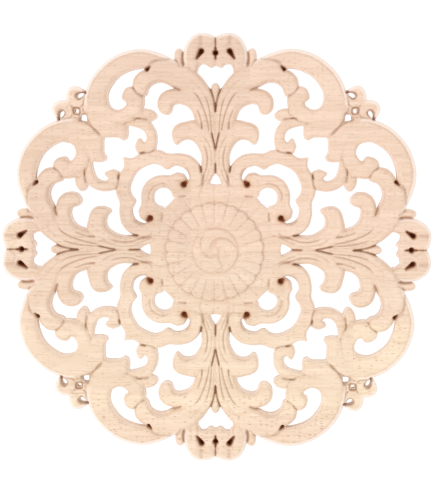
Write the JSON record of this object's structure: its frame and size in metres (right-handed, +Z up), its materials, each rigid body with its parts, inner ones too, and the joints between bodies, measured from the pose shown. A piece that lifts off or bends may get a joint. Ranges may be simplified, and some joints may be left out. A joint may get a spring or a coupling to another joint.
{
  "type": "carved wooden panel",
  "caption": "Round openwork wood carving with a petalled rosette, leafy scrolls and crests, flat at the back for gluing to a wall, door or cabinet.",
  "frame": {"origin": "middle of the flat back, behind the centre of the rosette", "axes": "+Y out of the back, into the wall it hangs on; the carved face looks along -Y; +Z up"},
  "size_m": [0.2998, 0.0121, 0.2998],
  "materials": {
    "wood": "unpainted, sanded"
  },
  "bodies": {
    "root": {"carved_panel": "wood"}
  },
  "joints": []
}
